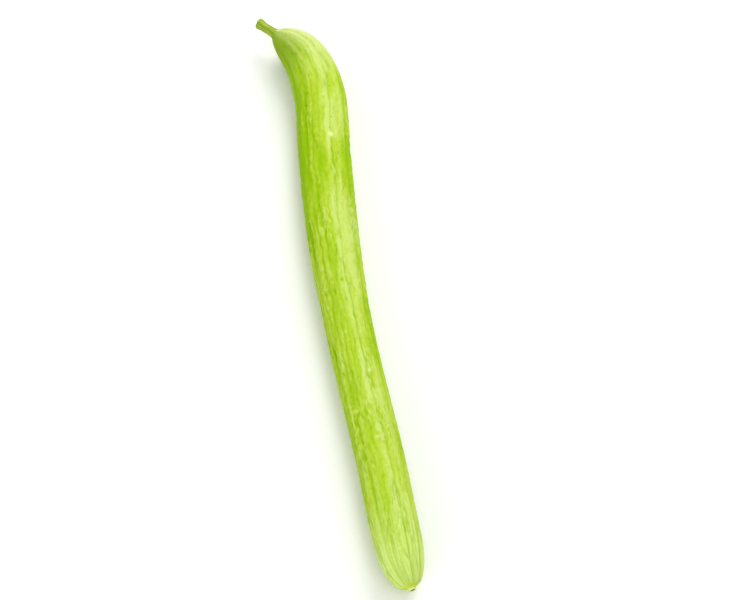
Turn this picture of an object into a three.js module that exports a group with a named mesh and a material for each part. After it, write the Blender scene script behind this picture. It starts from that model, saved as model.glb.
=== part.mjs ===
// A ribbed snake cucumber (Armenian cucumber), picked with a short stem and lying on its belly.
// Millimetres. +Z is up, +Y runs from the blossom end to the stem end, and the table is z = 0.
import * as THREE from 'three';

// The line through the middle of stem and fruit, from the stem's cut tip to the blossom end.
const spinePoints = [
  [-60.9, 223.1, 21.1],
  [-47.5, 214.5, 19.8],
  [-25.8, 195.2, 18.8],
  [-13, 162.5, 19],
  [-8, 105.5, 18.9],
  [-0.5, 34.5, 18.2],
  [12.5, -40.5, 16.6],
  [30.5, -121.5, 16.6],
  [45.3, -194.5, 16.6],
  [49.9, -213, 16.5],
  [54.6, -225.5, 16.4],
];

// The fruit's outline at its stem end: radius, and distance from the joint with the stem.
const stemEndOutline = [
  [4.1, 0],
  [7.8, 4.5],
  [11.7, 11],
  [15, 20],
  [17.8, 37],
  [19.2, 60],
  [19.6, 110],
  [18.9, 190],
  [17.2, 250],
];

// The fruit's outline at its blossom end: radius, and distance back from the tip.
const blossomEndOutline = [
  [17, 140],
  [17, 75],
  [16.6, 33],
  [15.1, 20],
  [12.1, 11],
  [8.2, 4.8],
  [3.4, 1.8],
];

// The scar that the blossom leaves on the tip.
const scarOutline = [
  [2.3, 0.9],
  [1.2, 0],
];
const outlineSteps = 4;

// The stem's outline: radius, and distance from its cut tip.
const stemLength = 15.7;
const stemOutline = [
  [3.7, 0],
  [3.4, 4],
  [3.4, 9],
  [3.8, stemLength],
];

// Gap that keeps the stem's solid clear of the fruit's.
const jointGap = 0.3;

// Ribs run the whole length, as one rib on top and the others evenly round.
const fruitRibs = { count: 10, depth: 0.7, facets: 5 };
const stemRibs = { count: 5, depth: 0.5, facets: 5 };

const fruitColour = 0xb4d646;
const stemColour = 0x9fb944;

const spine = new THREE.CatmullRomCurve3(
  spinePoints.map(([x, y, z]) => new THREE.Vector3(x, y, z)),
  false,
  'centripetal',
);
spine.arcLengthDivisions = 1000;
const spineLength = spine.getLength();

// A closed round solid about +Y, from a smooth outline with flat or domed ends on the axis.
function turnedSolid(outline, ribs, tip = []) {
  const curve = new THREE.SplineCurve(outline.map(([radius, along]) => new THREE.Vector2(radius, along)));
  const side = curve.getPoints((outline.length - 1) * outlineSteps);
  const crown = tip.map(([radius, along]) => new THREE.Vector2(radius, along));
  const profile = [...side, ...crown];
  profile.unshift(new THREE.Vector2(0, profile[0].y));
  profile.push(new THREE.Vector2(0, profile[profile.length - 1].y));
  return new THREE.LatheGeometry(profile, ribs.count * ribs.facets);
}

// Raises the ribs: full depth where the solid is widest, and less where it narrows.
function raiseRibs(geometry, ribs) {
  geometry.computeBoundingBox();
  const widest = geometry.boundingBox.max.z;
  const place = geometry.attributes.position;
  for (let i = 0; i < place.count; i += 1) {
    const x = place.getX(i);
    const z = place.getZ(i);
    const wave = Math.cos(ribs.count * Math.atan2(x, z));
    const growth = 1 + (ribs.depth * wave) / (2 * widest);
    place.setX(i, x * growth);
    place.setZ(i, z * growth);
  }
}

// Lays a solid that stands along +Y onto the spine, starting at a distance from the cut tip.
// What would sink below the table is pressed flat, as the belly of the fruit is.
function layOnSpine(geometry, start) {
  const up = new THREE.Vector3(0, 0, 1);
  const place = geometry.attributes.position;
  const point = new THREE.Vector3();
  for (let i = 0; i < place.count; i += 1) {
    const along = Math.min((start + place.getY(i)) / spineLength, 1);
    const forward = spine.getTangentAt(along);
    const side = new THREE.Vector3().crossVectors(forward, up).normalize();
    const above = new THREE.Vector3().crossVectors(side, forward);
    point.copy(spine.getPointAt(along));
    point.addScaledVector(side, place.getX(i));
    point.addScaledVector(above, place.getZ(i));
    place.setXYZ(i, point.x, point.y, Math.max(point.z, 0));
  }
  geometry.computeVertexNormals();
}

function makeFruit() {
  const fruitLength = spineLength - stemLength - jointGap;
  const fromTip = ([radius, back]) => [radius, fruitLength - back];
  const outline = [...stemEndOutline, ...blossomEndOutline.map(fromTip)];
  const geometry = turnedSolid(outline, fruitRibs, scarOutline.map(fromTip));
  raiseRibs(geometry, fruitRibs);
  layOnSpine(geometry, stemLength + jointGap);
  const skin = new THREE.MeshStandardMaterial({ color: fruitColour, roughness: 0.42, metalness: 0 });
  const fruit = new THREE.Mesh(geometry, skin);
  fruit.name = 'fruit';
  return fruit;
}

function makeStem() {
  const geometry = turnedSolid(stemOutline, stemRibs);
  raiseRibs(geometry, stemRibs);
  layOnSpine(geometry, 0);
  const skin = new THREE.MeshStandardMaterial({ color: stemColour, roughness: 0.6, metalness: 0 });
  const stem = new THREE.Mesh(geometry, skin);
  stem.name = 'stem';
  return stem;
}

const cucumber = new THREE.Group();
cucumber.add(makeFruit(), makeStem());

export default cucumber;
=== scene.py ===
import math

import bmesh
import bpy
import numpy as np
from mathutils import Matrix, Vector, noise
from mathutils.geometry import interpolate_bezier


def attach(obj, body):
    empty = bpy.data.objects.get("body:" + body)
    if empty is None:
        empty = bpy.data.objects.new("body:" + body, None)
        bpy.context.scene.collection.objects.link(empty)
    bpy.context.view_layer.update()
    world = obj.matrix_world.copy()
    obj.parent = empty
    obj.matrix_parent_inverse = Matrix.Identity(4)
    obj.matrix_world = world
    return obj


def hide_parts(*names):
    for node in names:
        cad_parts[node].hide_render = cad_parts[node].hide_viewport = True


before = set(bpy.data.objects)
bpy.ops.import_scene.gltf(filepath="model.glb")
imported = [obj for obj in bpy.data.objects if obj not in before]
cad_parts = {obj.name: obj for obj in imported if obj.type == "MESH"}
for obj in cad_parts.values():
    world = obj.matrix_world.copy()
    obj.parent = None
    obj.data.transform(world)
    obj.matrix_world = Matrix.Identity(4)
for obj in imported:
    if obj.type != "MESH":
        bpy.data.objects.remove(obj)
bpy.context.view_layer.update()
mm = 0.001  # shapes are worked out in millimetres and kept in metres

# The line through the middle of stem and fruit, from the cut tip to the blossom end.
spineKnots = [
    (-60.9, 223.1, 21.1), (-47.5, 214.5, 19.8), (-25.8, 195.2, 18.8), (-13, 162.5, 19), (-8, 105.5, 18.9),
    (-0.5, 34.5, 18.2), (12.5, -40.5, 16.6), (30.5, -121.5, 16.6), (45.3, -194.5, 16.6), (49.9, -213, 16.5),
    (54.6, -225.5, 16.4),
]
stemLength = 16  # where the fruit begins on that line


def smoothThrough(knots, perSpan=24):  # a centripetal curve through the knots
    points = [Vector(k) for k in knots]
    points = [points[0] * 2 - points[1], *points, points[-1] * 2 - points[-2]]
    path = [points[1]]
    for a, b, c, d in zip(points, points[1:], points[2:], points[3:]):
        before, here, after = ((q - p).length ** 0.5 for p, q in ((a, b), (b, c), (c, d)))
        leave = (b - a) / before - (c - a) / (before + here) + (c - b) / here
        arrive = (c - b) / here - (d - b) / (here + after) + (d - c) / after
        path += interpolate_bezier(b, b + leave * here / 3, c - arrive * here / 3, c, perSpan + 1)[1:]
    return np.array(path)


def measured(path):
    return np.concatenate(([0], np.cumsum(np.linalg.norm(np.diff(path, axis=0), axis=1))))


def pickedAt(distance, path, at):
    return np.column_stack([np.interp(at, distance, column) for column in path.T])


def evenly(outline, spacing):  # a smooth outline through the given points, in even steps
    path = smoothThrough([(radius, along, 0) for radius, along in outline])[:, :2]
    distance = measured(path)
    return pickedAt(distance, path, np.linspace(0, distance[-1], round(distance[-1] / spacing) + 1)).tolist()


spinePath = smoothThrough(spineKnots, 60)
spineDistance = measured(spinePath)
spineForward = np.gradient(spinePath, spineDistance, axis=0)
fruitLength = spineDistance[-1] - stemLength


def turned(outline, around, weld=0.002):  # a closed round shape that stands along +Y
    bm = bmesh.new()
    verts = [bm.verts.new((radius, along, 0)) for radius, along in outline]
    edges = [bm.edges.new(pair) for pair in zip(verts, verts[1:])]
    bmesh.ops.spin(bm, geom=verts + edges, cent=(0, 0, 0), axis=(0, 1, 0), dvec=(0, 0, 0),
                   angle=math.tau, steps=around, use_merge=True, use_duplicate=False)
    bmesh.ops.remove_doubles(bm, verts=bm.verts, dist=weld)
    bmesh.ops.recalc_face_normals(bm, faces=bm.faces)
    bm.verts.index_update()
    # Spin leaves the faces in a different order each time.
    bm.faces.sort(key=lambda face: face.verts[0].index * len(bm.verts) + face.verts[2].index)
    for face in bm.faces:
        face.smooth = True
    return bm


def meshPiece(name, bm):
    mesh = bpy.data.meshes.new(name)
    bm.to_mesh(mesh)
    bm.free()
    piece = bpy.data.objects.new(name, mesh)
    bpy.context.scene.collection.objects.link(piece)
    return piece


def readPlaces(piece):
    places = np.empty(len(piece.data.vertices) * 3)
    piece.data.vertices.foreach_get("co", places)
    return places.reshape(-1, 3)


def writePlaces(piece, places):
    piece.data.vertices.foreach_set("co", places.ravel())
    piece.data.update()


def keep(piece, traits):  # values for each point, which the materials read
    for name, values in traits.items():
        kind, field = ("FLOAT_VECTOR", "vector") if values.ndim == 2 else ("FLOAT", "value")
        store = piece.data.attributes.new(name, kind, "POINT")
        store.data.foreach_set(field, values.astype(np.float32).ravel())


def swollen(straight, growth):  # wider or narrower, and as long as before
    return straight * np.column_stack([growth, np.ones_like(growth), growth])


def layOnSpine(straight, start):  # bends a straight shape along the spine
    at = start + straight[:, 1]
    middle = pickedAt(spineDistance, spinePath, at)
    forward = pickedAt(spineDistance, spineForward, at)
    forward /= np.linalg.norm(forward, axis=1, keepdims=True)
    side = np.cross(forward, (0, 0, 1))
    side /= np.linalg.norm(side, axis=1, keepdims=True)
    above = np.cross(side, forward)
    bent = middle + side * straight[:, :1] + above * straight[:, 2:]
    bent[:, 2] = np.maximum(bent[:, 2], 0)  # the belly lies flat on the table
    return bent * mm


def ease(value, low, high):
    t = np.clip((value - low) / (high - low), 0, 1)
    return t * t * (3 - 2 * t)


def within(distance, full, gone):  # 1 up to one distance, then fading to 0 at another
    return 1 - ease(distance, full, gone)


def bump(distance, width):
    return np.exp(-(distance / width) ** 2)


def wrappedAt(angle, along, radius):  # where a point of the skin is on an even, straight rod
    return np.column_stack([radius * np.sin(angle), along, radius * np.cos(angle)])


seedShift = np.array((7.3, 3.1, 5.7))  # how far one seed's noise lies from the next one's


def ripples(place, strength, across, along, seed):  # smooth noise, stretched along the skin
    scaled = place / (across, along, across) + seed * seedShift
    return strength * np.array([noise.noise(point) for point in scaled.tolist()])


def plug(tree, socket, source):  # a link from another node, or a fixed value
    if isinstance(source, bpy.types.NodeSocket):
        tree.links.new(source, socket)
    else:
        socket.default_value = source


def add(tree, kind, inputs=None, **settings):
    made = tree.nodes.new(kind)
    for name, setting in settings.items():
        setattr(made, name, setting)
    for name, source in (inputs or {}).items():
        plug(tree, made.inputs[name], source)
    return made


def blankMaterial(name, finish):
    material = bpy.data.materials.new(name)
    material.use_nodes = True
    tree = material.node_tree
    shader = tree.nodes["Principled BSDF"]
    for socketName, amount in finish.items():
        shader.inputs[socketName].default_value = amount
    return material, tree, shader


def keptValue(tree, name):
    return add(tree, "ShaderNodeAttribute", attribute_name=name).outputs["Fac"]


def keptPlace(tree, name):
    return add(tree, "ShaderNodeAttribute", attribute_name=name).outputs["Vector"]


def maths(tree, operation, first, second=0.0):
    return add(tree, "ShaderNodeMath", {0: first, 1: second}, operation=operation).outputs[0]


def mapped(tree, source, fromRange, toRange=(0.0, 1.0), kind="LINEAR"):
    return add(tree, "ShaderNodeMapRange", {
        "Value": source, "From Min": fromRange[0], "From Max": fromRange[1],
        "To Min": toRange[0], "To Max": toRange[1],
    }, interpolation_type=kind).outputs[0]


def mixed(tree, factor, first, second):
    made = add(tree, "ShaderNodeMix", {0: factor, 6: first, 7: second}, data_type="RGBA")
    return made.outputs[2]


def varied(tree, tone, pattern, strength):  # a noise pattern makes the tone a little higher or lower
    change = maths(tree, "MULTIPLY", maths(tree, "SUBTRACT", pattern, 0.5), strength)
    return maths(tree, "ADD", tone, change)


def grainy(tree, place, scale, detail, roughness):
    return add(tree, "ShaderNodeTexNoise", {
        "Vector": place, "Scale": scale, "Detail": detail, "Roughness": roughness}).outputs[0]


def squeezed(tree, place, lengthwise):  # patterns laid on this come out long and thin
    return add(tree, "ShaderNodeMapping", {"Vector": place, "Scale": (1, lengthwise, 1)}).outputs[0]


def speckled(tree, place, share, spacing, size, core, seed):  # small round spots, scattered at random
    moved = add(tree, "ShaderNodeMapping", {"Vector": place, "Location": (seed, seed, seed)}).outputs[0]
    cells = add(tree, "ShaderNodeTexVoronoi", {"Vector": moved, "Scale": 1 / spacing, "Randomness": 1.0})
    spot = mapped(tree, cells.outputs["Distance"], (size, size * core))
    return maths(tree, "MULTIPLY", spot, maths(tree, "LESS_THAN", cells.outputs["Color"], share))


def creased(tree, place, patches, pattern, lengthwise, width, among):
    # Hair-thin lines run where a stretched noise is at its middle, in some of the patches.
    wave = grainy(tree, squeezed(tree, place, lengthwise), *pattern)
    away = maths(tree, "ABSOLUTE", maths(tree, "SUBTRACT", wave, 0.5))
    thin = mapped(tree, away, (0.0, width), (1.0, 0.0), "SMOOTHERSTEP")
    return maths(tree, "MULTIPLY", thin, mapped(tree, patches, among))


def embossed(tree, pattern, strength, depth, below=None, sunk=False):
    inputs = {"Height": pattern, "Strength": strength, "Distance": depth}
    if below:
        inputs["Normal"] = below
    return add(tree, "ShaderNodeBump", inputs, invert=sunk).outputs[0]


fruit = {
    "around": 200,
    "ringSpacing": 1.03,
    # Outlines: radius, and distance from the stem's joint or (at the blossom end) back from the tip.
    "underStem": [(0, 1.2), (2.2, 0.7)],
    "stemEnd": [
        (4.0, 0.2), (7.8, 4.5), (11.7, 11), (15, 20), (17.8, 37), (19.2, 60), (19.6, 110), (18.9, 190),
        (17.2, 250),
    ],
    "blossomEnd": [
        (17, 140), (17, 75), (16.6, 33), (15.1, 20), (12.2, 11), (8.3, 4.8), (3.8, 2.3),
    ],
    "scar": [(2.75, 1.5), (2.45, 0.7), (2.1, 0.3), (1.6, 0.2), (0.8, 0.5), (0, 0.6)],
    "wrapRadius": 17.5,  # radius at which patterns wrap round the skin
    # Grooves between the ribs, round from the top: degrees, depth, and how marked the line at the bottom is.
    "grooves": [
        (8, 0.1, 0.5), (21, 0.3, 0.8), (38, 0.45, 0.7), (66, 0.6, 0.9), (97, 0.6, 0.7), (131, 0.6, 0.7),
        (164, 0.5, 0.6), (-17, 0.5, 1.0), (-57, 0.7, 0.9), (-94, 0.5, 0.7), (-122, 0.6, 0.7),
        (-156, 0.5, 0.6),
    ],
    "grooveWidth": 3.0,
    "grooveLineWidth": 0.5,
    "grooveLineDepth": 0.3,
    "grooveFading": {"mean": 0.85, "swing": 0.9, "period": 60, "seed": 40, "least": 0.2, "most": 1.2},
    # Ribs: degrees, width, height, and how pale (or green, below 0) they are painted: partly the ribs' own
    # paler skin, partly painted highlight on the lit side, as on the broad rib at -35 degrees.
    "ribs": [
        (-10, 1.7, 0.35, 0.4), (-35, 7.0, 0.15, 0.4), (28, 1.8, 0.25, 0.2), (51, 3.0, 0.3, 0.1),
        (-71, 4.0, 0.3, 0.03), (80, 4.0, 0.3, -0.1), (-104, 2.5, 0.3, 0.2), (112, 3.5, 0.2, 0.3),
        (148, 3.0, 0.2, 0.3), (-139, 3.0, 0.2, 0.3), (180, 4.0, 0.2, 0.3),
    ],
    "ribFading": {"mean": 0.9, "swing": 0.7, "period": 70, "seed": 60, "least": 0.4, "most": 1.1},
    # Areas a little paler, or greener (below 0), partly the skin's own mottling and partly painted highlight
    # and painted shade: distance along, degrees, length, width, strength.
    "mottleAndPaintedLight": [
        (42, -62, 12, 9, 0.25), (44, -13, 14, 6, 0.2), (57, -2, 13, 8, 0.3), (60, 21, 14, 5, 0.13),
        (66, -50, 20, 11, -0.32), (74, -18, 12, 12, 0.08), (75, 42, 14, 5, -0.16), (90, 34, 26, 6, 0.14),
        (94, 58, 26, 12, -0.16), (98, -14, 22, 4, 0.15), (98, -22, 20, 6, 0.25), (98, -44, 26, 10, 0.2),
        (120, 64, 45, 12, -0.3), (121, -37, 9, 6, -0.12), (122, -10, 16, 4, -0.2),
        (122, -26, 20, 6, 0.26), (132, -4, 14, 4, -0.18), (134, -56, 34, 10, -0.5),
        (138, 46, 10, 6, -0.2), (150, 72, 40, 8, -0.3), (172, -12, 22, 6, 0.2), (175, -46, 26, 8, 0.25),
        (196, -28, 24, 6, 0.14), (225, 64, 18, 8, 0.22), (240, 2, 42, 4, 0.15), (240, -13, 22, 6, 0.15),
        (258, 66, 42, 8, 0.15), (270, -42, 28, 8, -0.2), (270, -54, 32, 8, -0.35),
        (292, -20, 13, 4, 0.22), (302, 64, 18, 7, 0.22), (312, -22, 24, 6, 0.25), (362, 26, 22, 4, -0.15),
        (362, -36, 26, 8, -0.25), (365, 46, 34, 9, 0.15), (366, -22, 18, 10, 0.16),
        (370, 56, 26, 12, 0.12), (436, 60, 24, 9, 0.5), (442, -12, 24, 11, -0.3),
    ],
    # Small marks, raised with a painted highlight, or sunk and dark (below 0), partly their own dark specks
    # and partly painted shade in and beside the dents, in the same way.
    "marks": [
        (32, 14, 3.0, 1.1, -0.5), (39, 6, 4.0, 1.2, -0.5), (43, -28, 4.5, 1.5, -0.65),
        (51, -34, 4.0, 1.5, -0.65), (56, 28, 5.0, 1.0, -0.4), (60, 2, 5.0, 1.4, -0.45),
        (61, -23, 3.5, 1.4, -0.6), (68, -12, 4.5, 1.4, -0.6), (110.8, -16, 1.5, 1.5, 1.2),
        (126, -31, 2.0, 0.6, -0.7), (131.5, -25, 2.6, 0.6, -0.8), (137.5, -14, 1.6, 0.7, 0.3),
        (139.5, -10, 2.2, 0.7, -0.8), (142, -18, 2.4, 0.8, 0.4), (227.2, 24, 0.8, 1.1, -0.9),
        (233, 41, 1.0, 1.0, 0.3), (234.6, 37, 1.0, 0.7, -0.9), (275.6, 54, 1.0, 1.0, -1.2),
        (300.8, -22, 0.9, 1.4, 0.5), (324, 48, 0.9, 2.4, 0.25), (328.8, 36, 1.0, 2.6, 0.4),
        (331.6, 32, 0.9, 1.0, -1.1), (351.5, -4, 0.9, 1.8, 0.35), (354, -15, 0.9, 2.0, 0.3),
    ],
    "markHeight": 0.35,
    "markDarkness": 1.6,
    "pimples": 36,
    "pimpleSeed": 7,
    "pimpleMargin": 12,
    "pimpleRadius": 0.75,
    "pimpleSizes": (0.7, 1.3),
    "pimpleHeight": 0.35,
    "foldHeight": 0.33,
    "cobbleHeight": 0.4,
    "hollowDepth": 0.4,
    "furrowDepth": 0.3,
    "furrowWidth": 0.045,  # a furrow runs where its noise is nearer to 0 than this
    "reliefRadii": (1.5, 12),  # radii between which the relief comes in at both ends
    "furrowRadii": (2, 8),
    "leastRadius": 2,  # nearer the axis than this, the relief fades with the radius
    # Smooth noises over the skin: strength, size across and along, seed.
    "waves": {
        "bend": (1.0, 5, 9, 9),  # how far ribs, grooves and wrinkles stray sideways
        "longBend": (0.6, 9, 22, 11),
        "sway": (2.4, 16, 80, 2),
        "kink": (1.1, 3, 4.2, 10),  # how far the wrinkles stray from that
        "fineKink": (0.33, 1.5, 2.1, 8),
        "rough": (1, 14, 26, 12),
        "fold": (1, 2.4, 22, 3),
        "cobble": (1, 1.7, 4.0, 4),
        "hollow": (1, 2.0, 6.0, 13),
        "furrow": (1, 4.0, 60, 5),
        "furrowShown": (1, 8, 34, 6),
        "fineFurrow": (1, 3.2, 34, 14),
        "fineFurrowShown": (1, 9, 26, 15),
        "lump": (0.2, 26, 60, 7),
    },
    # Strengths of a noise between which its feature comes in.
    "roughFrom": (0.0, 0.4),
    "hollowFrom": (0.3, 0.6),
    "furrowFrom": (0.0, 0.3),
    "leastRough": 0.5,
    "addedRough": 0.9,
    # How the skin changes towards its ends and sides. The pairs are distances: in full up to, and gone by.
    "tipEnd": (12, 75),
    "shoulder": (8, 60),
    "calmShoulder": (20, 120),  # wrinkles run straighter at both ends
    "calming": 0.6,
    "paintedLightSide": -90,  # painted light: the skin is painted paler on this side, the lit one, and darker on the far side as painted shade, in degrees round from the top
    "paleSpread": 2,
    "evenFlank": (45, 100),  # and on the other side it is smoother at the shoulder
    "evenness": 0.7,
    "evenSpread": 1.3,
    "softLines": (35, 90),
    "lineSoftening": 0.85,
    "grooveSoftening": 0.5,
    "tipGrooves": 0.4,
    "tipLineLoss": 0.3,
    "tipFurrows": 0.8,
    # How pale the skin is, from 0 in the greenest grooves to 1 on the palest ribs, and what adds to it.
    # Fold, cobble and hollow paint raised wrinkles paler and hollows darker, and groove and tipGroove paint
    # the grooves darker: partly the skin's own colour, partly painted highlight and painted shade. Side and
    # shoulderSide are painted highlight on the lit side and painted shade on the far side.
    "tones": {"plain": 0.45, "fold": 0.35, "cobble": 0.4, "hollow": -0.3, "groove": -0.17, "tipGroove": -0.16,
              "side": 0.1, "shoulderSide": 0.5, "tip": 0.38, "tipRibLoss": 0.5, "shoulderStreakLoss": 0.15},
    "scarReach": (1.5, 5),
    "scarRimRadius": 2.3,
    "scarRimWidth": 0.45,
    "scarFaceRadii": (1.5, 2.1),
    "scarDepth": 2,
}


def fromTip(outline):
    return [(radius, fruitLength - back) for radius, back in outline]


def fruitOutline():
    side = evenly(fruit["stemEnd"] + fromTip(fruit["blossomEnd"]), fruit["ringSpacing"])
    return [*fruit["underStem"], *side, *fromTip(fruit["scar"])]


fadingMargin = 10
fadingSteps = 480
fadingShift = (3.7, 1.3)  # how far one rib's noise lies from the next one's


def fading(along, number, mean, swing, period, seed, least, most):  # how a rib or groove comes and goes
    steps = np.linspace(-fadingMargin, fruitLength + fadingMargin, fadingSteps)
    shift = [(number + seed) * apart for apart in fadingShift]
    drift = [noise.noise((step / period, *shift)) for step in steps]
    return np.clip(mean + swing * np.interp(along, steps, drift), least, most)


def gapTo(degrees, angle):  # distance round the skin to a line that runs the fruit's length
    return ((angle - math.radians(degrees) + math.pi) % math.tau - math.pi) * fruit["wrapRadius"]


def spots(listed, along, angle):  # soft spots, each given as in the lists above
    total = np.zeros(len(along))
    for centre, degrees, length, width, strength in listed:
        total += strength * bump(along - centre, length) * bump(gapTo(degrees, angle), width)
    return total


def pimplesOn(wrapped):  # a few raised dots, scattered at random
    picker = np.random.default_rng(fruit["pimpleSeed"])
    margin = fruit["pimpleMargin"]
    angles = picker.uniform(0, math.tau, fruit["pimples"])
    along = picker.uniform(margin, fruitLength - margin, fruit["pimples"])
    height = np.zeros(len(wrapped))
    for centre in wrappedAt(angles, along, fruit["wrapRadius"]):
        size = fruit["pimpleRadius"] * picker.uniform(*fruit["pimpleSizes"])
        height = np.maximum(height, bump(np.linalg.norm(wrapped - centre, axis=1), size))
    return height


def fruitRelief(straight):  # what the skin's material reads, and how far each point moves outwards
    radius = np.hypot(straight[:, 0], straight[:, 2])
    angle = np.arctan2(straight[:, 0], straight[:, 2])
    along = straight[:, 1]
    back = fruitLength - along
    wrapped = wrappedAt(angle, along, fruit["wrapRadius"])
    waves = fruit["waves"]

    tipEnd = within(back, *fruit["tipEnd"])
    shoulder = within(along, *fruit["shoulder"])
    # side is 1 on the lit side and -1 on the far side, for painted light and shade; paleFlank is the lit
    # flank
    side = np.cos(angle - math.radians(fruit["paintedLightSide"]))
    paleFlank = np.clip(fruit["paleSpread"] * side, 0, 1)
    evenFlank = within(along, *fruit["evenFlank"]) * np.clip(-fruit["evenSpread"] * side, 0, 1)
    quiet = 1 - fruit["evenness"] * evenFlank
    calm = 1 - fruit["calming"] * np.maximum(tipEnd, within(along, *fruit["calmShoulder"]))
    rough = ease(ripples(wrapped, *waves["rough"]), *fruit["roughFrom"])
    rough = fruit["leastRough"] + fruit["addedRough"] * rough  # some areas are more wrinkled

    bend = (ripples(wrapped, *waves["bend"]) + ripples(wrapped, *waves["longBend"])) * calm
    bend += ripples(wrapped, *waves["sway"]) * (1 - tipEnd)
    kink = (ripples(wrapped, *waves["kink"]) + ripples(wrapped, *waves["fineKink"])) * calm
    strayed = angle + bend / fruit["wrapRadius"]
    kinked = wrappedAt(strayed + kink / fruit["wrapRadius"], along, fruit["wrapRadius"])

    valley, line, rib, pale = np.zeros((4, len(along)))
    for number, (degrees, depth, marked) in enumerate(fruit["grooves"]):
        gap = gapTo(degrees, strayed)
        shown = fading(along, number, **fruit["grooveFading"])
        shown = np.maximum(shown, fruit["grooveFading"]["most"] * tipEnd)
        valley += depth * shown * bump(gap, fruit["grooveWidth"])
        line += marked * shown * bump(gap, fruit["grooveLineWidth"]) * (1 - fruit["tipLineLoss"] * tipEnd)
    for number, (degrees, width, rise, paleness) in enumerate(fruit["ribs"]):
        profile = fading(along, number, **fruit["ribFading"]) * bump(gapTo(degrees, strayed), width)
        rib += rise * profile
        pale += paleness * profile
    pale += spots(fruit["mottleAndPaintedLight"], along, strayed)
    valley *= (1 + fruit["tipGrooves"] * tipEnd) * (1 - fruit["grooveSoftening"] * shoulder * paleFlank)
    line *= 1 - fruit["lineSoftening"] * within(along, *fruit["softLines"]) * paleFlank

    fold = ripples(kinked, *waves["fold"]) * quiet
    cobble = ripples(kinked, *waves["cobble"]) * rough * calm * quiet
    hollow = ease(ripples(kinked, *waves["hollow"]), *fruit["hollowFrom"]) * rough * quiet
    shown = ease(ripples(wrapped, *waves["furrowShown"]), *fruit["furrowFrom"])
    furrow = bump(ripples(kinked, *waves["furrow"]), fruit["furrowWidth"])
    furrow *= np.maximum(shown, fruit["tipFurrows"] * tipEnd)
    fineShown = ease(ripples(wrapped, *waves["fineFurrowShown"]), *fruit["furrowFrom"])
    fineFurrow = bump(ripples(kinked, *waves["fineFurrow"]), fruit["furrowWidth"]) * fineShown
    furrow = np.maximum(furrow, fineFurrow) * quiet
    mark = spots(fruit["marks"], along, angle)
    pimple = pimplesOn(wrapped)

    height = (
        rib
        - valley
        - fruit["grooveLineDepth"] * line
        + fruit["foldHeight"] * fold
        + fruit["cobbleHeight"] * cobble
        - fruit["hollowDepth"] * hollow
        - fruit["furrowDepth"] * furrow
        + ripples(wrapped, *waves["lump"])
        + fruit["pimpleHeight"] * pimple
        + fruit["markHeight"] * mark
    )
    tones = fruit["tones"]
    # raised wrinkles painted paler and hollows darker: partly the skin's own mottling, partly painted
    # highlight and shade
    streaks = tones["fold"] * fold + tones["cobble"] * cobble + tones["hollow"] * hollow
    ridge = (
        tones["plain"]
        # rib paleness and the areas above: partly the skin's own colour, partly painted highlight and shade
        + pale * quiet * (1 - tones["tipRibLoss"] * tipEnd)
        # grooves painted darker: partly their own green, partly painted shade
        + (tones["groove"] + tones["tipGroove"] * tipEnd) * valley
        + streaks * (1 - tones["shoulderStreakLoss"] * shoulder)
        # painted highlight on the lit side and painted shade on the far side, most at the shoulder
        + (tones["side"] + tones["shoulderSide"] * shoulder) * side * (1 - tipEnd)
        + tones["tip"] * tipEnd
    )
    # dark lines and sunk marks: partly the skin's own dark lines, partly painted shade in them
    dark = np.maximum(np.maximum(furrow, line), -fruit["markDarkness"] * mark)
    onScar = back < fruit["scarDepth"]
    return {
        "kinked": kinked * mm,
        "straight": straight * mm,
        "ridge": np.clip(ridge, 0, 1),
        "furrow": np.clip(dark, 0, 1) * ease(radius, *fruit["furrowRadii"]),
        "pimple": pimple,
        "mark": np.clip(mark, 0, 1),
        "tipEnd": tipEnd,
        "shoulder": shoulder,
        "scar": within(back, *fruit["scarReach"]),
        "scarRim": bump(radius - fruit["scarRimRadius"], fruit["scarRimWidth"]) * onScar,
        "scarFace": within(radius, *fruit["scarFaceRadii"]) * onScar,
    }, height * ease(radius, *fruit["reliefRadii"])


def makeFruit():
    piece = meshPiece("ribbedFruit", turned(fruitOutline(), fruit["around"]))
    straight = readPlaces(piece)
    traits, height = fruitRelief(straight)
    keep(piece, traits)
    radius = np.hypot(straight[:, 0], straight[:, 2])
    growth = 1 + height / np.maximum(radius, fruit["leastRadius"])
    writePlaces(piece, layOnSpine(swollen(straight, growth), stemLength))
    return piece


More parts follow.
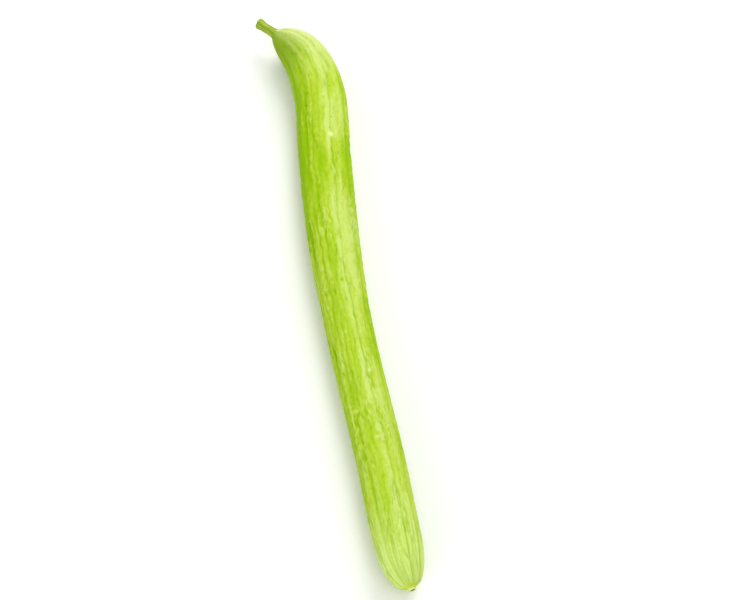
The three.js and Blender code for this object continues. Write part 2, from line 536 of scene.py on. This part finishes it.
skin = {
    # Tone, and the colour that goes with it: down in the grooves, on their flanks, and on the ribs. The
    # groove colour is partly the grooves' own green and partly painted shade, the crest colour partly the
    # ribs' own pale colour and partly painted highlight.
    "groove": (0.12, (0.295, 0.51, 0.005, 1)),
    "flank": (0.5, (0.43, 0.592, 0.038, 1)),
    "crest": (0.95, (0.54, 0.685, 0.148, 1)),
    "tipGroove": (0.42, 0.59, 0.06, 1),
    "tip": (0.665, 0.815, 0.245, 1),
    "tipStrength": 0.9,
    # Shoulder colours: shoulderGroove is partly the shoulder's own olive and partly painted shade on its far
    # side, shoulder partly its own paler tint and partly painted highlight on the lit side.
    "shoulderGroove": (0.258, 0.375, 0.02, 1),
    "shoulder": (0.62, 0.70, 0.28, 1),
    "shoulderStrength": 0.85,
    # The dark colour of furrows, groove lines, creases and sunk marks: partly the skin's own dark green
    # lines, partly painted shade in them.
    "furrow": (0.17, 0.36, 0.001, 1),
    "furrowStrength": 0.45,
    # pimples painted paler: partly their own pale colour, partly a painted glint
    "pimple": (0.66, 0.80, 0.24, 1),
    "pimpleStrength": 0.6,
    # Colours that are laid on wherever the point values of the same names are above 0.
    "laidOn": {
        "scar": (0.55, 0.70, 0.03, 1),
        "scarRim": (0.80, 0.86, 0.42, 1),
        # partly the dried scar's own dark face, partly painted shade under the knob
        "scarFace": (0.22, 0.25, 0.03, 1),
        # painted highlight: a near-white glint on the raised marks
        "mark": (0.80, 0.90, 0.36, 1),
    },
    # Noises: scale, detail, roughness. The first three change the tone, by the amounts below.
    "streaks": (420, 3, 0.6),
    "patches": (38, 2, 0.5),
    "mottle": (480, 2, 0.6),
    "grain": (900, 4, 0.6),
    "pores": (1400, 3, 0.5),
    "streakAmount": 0.5,
    "patchAmount": 0.1,
    "mottleAmount": 0.35,
    "streakSqueeze": 0.11,
    "creases": {"pattern": (230, 0, 0.5), "lengthwise": 0.05, "width": 0.035, "among": (0.42, 0.6)},
    "creaseStrength": 0.3,
    # Specks: metres between the places for one, its size as a share of that, and how much of it is full.
    "specks": {"spacing": 0.0045, "size": 0.11, "core": 0.45, "seed": 0.3},
    "speck": (0.10, 0.20, 0.012, 1),
    "speckShare": 0.2,  # how many of the places have one
    "shoulderSpeckShare": 0.6,
    # pale specks in the pimples' colour: partly their own pale dots, partly painted glints
    "paleSpecks": {"share": 0.08, "spacing": 0.006, "size": 0.10, "core": 0.45, "seed": 0.7},
    # Fine relief: strength, and depth in metres.
    "grainRelief": (0.25, 0.0004),
    "poreRelief": (0.25, 0.0003),
    "creaseRelief": (0.3, 0.0003),
    "roughFrom": (0.3, 0.7),
    "roughTo": (0.4, 0.52),
    "finish": {"Subsurface Weight": 0.12, "Subsurface Radius": (0.6, 1.0, 0.15), "Subsurface Scale": 0.003,
               "Specular IOR Level": 0.015},
}


def ribColours(tree, tone):
    ramp = add(tree, "ShaderNodeValToRGB", {"Fac": tone})
    low, high = ramp.color_ramp.elements
    low.position, low.color = skin["groove"]
    high.position, high.color = skin["crest"]
    position, colour = skin["flank"]
    ramp.color_ramp.elements.new(position).color = colour
    return ramp.outputs[0]


def skinMaterial():
    material, tree, shader = blankMaterial("cucumberSkin", skin["finish"])
    kinked = keptPlace(tree, "kinked")
    straight = keptPlace(tree, "straight")
    shoulder = keptValue(tree, "shoulder")
    squeezedSkin = squeezed(tree, kinked, skin["streakSqueeze"])
    patches = grainy(tree, straight, *skin["patches"])
    tone = keptValue(tree, "ridge")
    tone = varied(tree, tone, grainy(tree, squeezedSkin, *skin["streaks"]), skin["streakAmount"])
    tone = varied(tree, tone, patches, skin["patchAmount"])
    tone = varied(tree, tone, grainy(tree, straight, *skin["mottle"]), skin["mottleAmount"])

    atTip = maths(tree, "MULTIPLY", keptValue(tree, "tipEnd"), skin["tipStrength"])
    atShoulder = maths(tree, "MULTIPLY", shoulder, skin["shoulderStrength"])
    colour = mixed(tree, atTip, ribColours(tree, tone), mixed(tree, tone, skin["tipGroove"], skin["tip"]))
    colour = mixed(tree, atShoulder, colour, mixed(tree, tone, skin["shoulderGroove"], skin["shoulder"]))
    crease = creased(tree, kinked, patches, **skin["creases"])
    # crease lines painted dark: partly their own dark lines, partly painted shade in the creases
    colour = mixed(tree, maths(tree, "MULTIPLY", crease, skin["creaseStrength"]), colour, skin["furrow"])
    furrow = maths(tree, "MULTIPLY", keptValue(tree, "furrow"), skin["furrowStrength"])
    colour = mixed(tree, furrow, colour, skin["furrow"])
    for part, partColour in skin["laidOn"].items():
        colour = mixed(tree, keptValue(tree, part), colour, partColour)
    pimple = maths(tree, "MULTIPLY", keptValue(tree, "pimple"), skin["pimpleStrength"])
    colour = mixed(tree, pimple, colour, skin["pimple"])
    share = maths(tree, "MULTIPLY", shoulder, skin["shoulderSpeckShare"])
    share = maths(tree, "MAXIMUM", share, skin["speckShare"])
    colour = mixed(tree, speckled(tree, straight, share, **skin["specks"]), colour, skin["speck"])
    colour = mixed(tree, speckled(tree, straight, **skin["paleSpecks"]), colour, skin["pimple"])
    tree.links.new(colour, shader.inputs["Base Color"])

    grain = grainy(tree, squeezedSkin, *skin["grain"])
    surface = embossed(tree, grain, *skin["grainRelief"])
    surface = embossed(tree, grainy(tree, straight, *skin["pores"]), *skin["poreRelief"], surface)
    surface = embossed(tree, crease, *skin["creaseRelief"], surface, sunk=True)
    tree.links.new(surface, shader.inputs["Normal"])
    tree.links.new(mapped(tree, grain, skin["roughFrom"], skin["roughTo"]), shader.inputs["Roughness"])
    return material


stalk = {
    "around": 80,
    "ringSpacing": 0.3,
    # Outlines: radius, and distance from the cut. The last of them ends inside the fruit.
    "cut": [(0, 0.9), (1.0, 0.8), (2.0, 0.35), (2.8, 0.05)],
    "side": [(3.3, 0.0), (3.75, 0.5), (3.75, 2), (3.45, 5), (3.4, 9), (3.5, 12.5), (3.9, 15.7), (4.0, 17.1)],
    "end": (0, 17.1),
    "wrapRadius": 3,
    "ribs": 5,
    "ribTurn": 0.22,
    "ribHeight": 0.6,
    "ribBase": 0.7,
    "ribRounding": 0.02,
    "ribSharpness": 0.8,
    "ribSway": (0.3, 3, 9, 20),  # smooth noises, as the fruit's waves
    "fibres": (1, 0.9, 4, 8),
    "fibreHeight": 0.28,
    "reliefRadii": (0.4, 2.4),
    "leastRadius": 1,
    "flare": 0.7,  # the cut end is thicker on one side
    "flareSide": -80,
    "flareCentre": 3,
    "flareLength": 2.6,
    "cutSlant": 0.15,
    "slantReach": (0, 6),
    "tones": {"rib": 1.25, "base": -0.35, "fibre": 0.8},
    "dryRim": 0.55,  # how much the skin darkens where it was cut
    "dryReach": (0.6, 2.8),
    "dryRaggedness": 2.5,
    "faceRadii": (2.1, 2.9),
    "faceDepth": 1.2,
    "grooveColour": (0.225, 0.34, 0.012, 1),
    "ribColour": (0.345, 0.455, 0.032, 1),
    "cutColour": (0.72, 0.68, 0.36, 1),
    "fineFibres": (1500, 3, 0.5),  # noise scale, detail, roughness
    "fineSqueeze": 0.15,
    "fineAmount": 1.0,
    "fineRelief": (0.4, 0.0003),
    "finish": {"Roughness": 0.6, "Specular IOR Level": 0.25},
}


def makeStalk():
    outline = [*stalk["cut"], *evenly(stalk["side"], stalk["ringSpacing"]), stalk["end"]]
    piece = meshPiece("cutStalk", turned(outline, stalk["around"]))
    straight = readPlaces(piece)
    radius = np.hypot(straight[:, 0], straight[:, 2])
    angle = np.arctan2(straight[:, 0], straight[:, 2])
    along = straight[:, 1]
    wrapped = wrappedAt(angle, along, stalk["wrapRadius"])
    turn = stalk["ribs"] * angle / 2 + stalk["ribTurn"] + ripples(wrapped, *stalk["ribSway"])
    rib = np.sqrt(np.cos(turn) ** 2 + stalk["ribRounding"])
    fibre = ripples(wrapped, *stalk["fibres"])
    flareSide = np.maximum(np.cos(angle - math.radians(stalk["flareSide"])), 0)
    height = (
        stalk["ribHeight"] * (rib ** stalk["ribSharpness"] - stalk["ribBase"])
        + stalk["fibreHeight"] * fibre
        + stalk["flare"] * flareSide * bump(along - stalk["flareCentre"], stalk["flareLength"])
    )
    tones = stalk["tones"]
    dry = stalk["dryRim"] * within(along + stalk["dryRaggedness"] * fibre, *stalk["dryReach"])
    keep(piece, {
        "wrapped": wrapped * mm,
        "ridge": np.clip(tones["rib"] * rib + tones["base"] + tones["fibre"] * fibre - dry, 0, 1),
        "cutFace": within(radius, *stalk["faceRadii"]) * (along < stalk["faceDepth"]),
    })
    height *= ease(radius, *stalk["reliefRadii"])
    raised = swollen(straight, 1 + height / np.maximum(radius, stalk["leastRadius"]))
    raised[:, 1] += stalk["cutSlant"] * raised[:, 0] * within(along, *stalk["slantReach"])
    writePlaces(piece, layOnSpine(raised, 0))
    return piece


def stalkMaterial():
    material, tree, shader = blankMaterial("stalkSkin", stalk["finish"])
    lengthwise = squeezed(tree, keptPlace(tree, "wrapped"), stalk["fineSqueeze"])
    fibres = grainy(tree, lengthwise, *stalk["fineFibres"])
    tone = varied(tree, keptValue(tree, "ridge"), fibres, stalk["fineAmount"])
    colour = mixed(tree, tone, stalk["grooveColour"], stalk["ribColour"])
    colour = mixed(tree, keptValue(tree, "cutFace"), colour, stalk["cutColour"])
    tree.links.new(colour, shader.inputs["Base Color"])
    tree.links.new(embossed(tree, fibres, *stalk["fineRelief"]), shader.inputs["Normal"])
    return material


studio = {
    "target": (27.3, -9.4, 18),  # millimetres, as is the distance
    "distance": 1490,
    "elevation": 65,
    "lens": 100,
    "sensor": 36,
    # Lamps, in metres and watts: place, size, power, colour.
    "topLamp": ((0.35, -0.7, 2.4), 2.2, 26, (1, 1, 1)),
    "backLamp": ((0.62, 1.75, 1.6), 1.6, 43, (1, 1, 1)),
    "fillLamp": ((-1.4, -1.7, 1.4), 1.4, 22, (0.97, 1, 0.8)),
    "skyStrength": 0.34,
    "floorSize": 8,  # metres, as is the drop
    "floorDrop": 0.0002,  # keeps the floor just below the fruit's belly
    "floorFinish": {"Base Color": (0.9, 0.9, 0.9, 1), "Roughness": 0.9, "Specular IOR Level": 0.1},
}


def makeCamera():
    tilt = math.radians(studio["elevation"])
    back = Vector((0, -math.cos(tilt), math.sin(tilt)))
    data = bpy.data.cameras.new("camera")
    data.lens = studio["lens"]
    data.sensor_width = studio["sensor"]
    camera = bpy.data.objects.new("camera", data)
    camera.location = Vector(studio["target"]) * mm + back * studio["distance"] * mm
    camera.rotation_euler = (math.pi / 2 - tilt, 0, 0)
    bpy.context.scene.collection.objects.link(camera)
    bpy.context.scene.camera = camera


def makeLamp(name):
    place, size, power, colour = studio[name]
    data = bpy.data.lights.new(name, "AREA")
    data.shape = "DISK"
    data.size = size
    data.energy = power
    data.color = colour
    lamp = bpy.data.objects.new(name, data)
    lamp.location = place
    lamp.rotation_euler = (-Vector(place)).to_track_quat("-Z", "Y").to_euler()
    bpy.context.scene.collection.objects.link(lamp)


def makeFloor():
    bm = bmesh.new()
    bmesh.ops.create_grid(bm, x_segments=1, y_segments=1, size=studio["floorSize"])
    bmesh.ops.translate(bm, verts=bm.verts, vec=(0, 0, -studio["floorDrop"]))
    floor = meshPiece("floor", bm)
    floor.data.materials.append(blankMaterial("paleFloor", studio["floorFinish"])[0])


def makeWorld():
    world = bpy.data.worlds.new("studio")
    world.use_nodes = True
    sky = world.node_tree.nodes["Background"]
    sky.inputs["Color"].default_value = (1, 1, 1, 1)
    sky.inputs["Strength"].default_value = studio["skyStrength"]
    bpy.context.scene.world = world
    bpy.context.scene.view_settings.view_transform = "Standard"


makeCamera()
makeFloor()
makeWorld()
for lampName in ("topLamp", "backLamp", "fillLamp"):
    makeLamp(lampName)
print("studio ready")

ribbedFruit = makeFruit()
ribbedFruit.data.materials.append(skinMaterial())
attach(ribbedFruit, "root")
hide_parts("fruit")
print("fruit made:", len(ribbedFruit.data.polygons), "faces")

cutStalk = makeStalk()
cutStalk.data.materials.append(stalkMaterial())
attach(cutStalk, "root")
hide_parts("stem")
print("stem made:", len(cutStalk.data.polygons), "faces")

bpy.context.view_layer.update()
